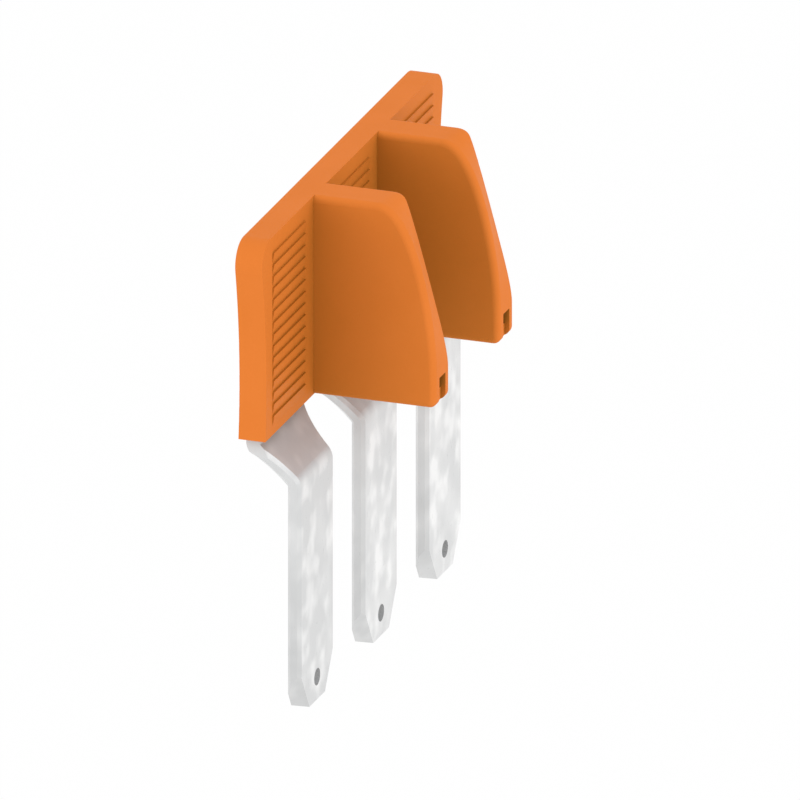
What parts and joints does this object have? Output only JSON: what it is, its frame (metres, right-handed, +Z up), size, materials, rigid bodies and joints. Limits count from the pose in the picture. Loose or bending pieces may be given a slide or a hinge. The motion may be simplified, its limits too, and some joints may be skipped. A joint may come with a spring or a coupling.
{
  "type": "terminal block jumper bar",
  "caption": "Flat-bladed contact comb in an insulating grip plate with finger fins, plugged across neighbouring terminal blocks to bridge them.",
  "frame": {"origin": "on the middle blade's axis, at its mid thickness, level with the underside of the moulding", "axes": "+X along the row of blades, -Y towards the two finger fins, +Z up, away from the blades' tips"},
  "size_m": [0.0452, 0.0132, 0.0422],
  "materials": {
    "orange_plastic": "fine satin, as moulded",
    "tinned_copper": "bright tin plating over copper, softly mottled"
  },
  "bodies": {
    "root": {"insulating_body": "orange_plastic", "contact_comb": "tinned_copper"}
  },
  "joints": []
}
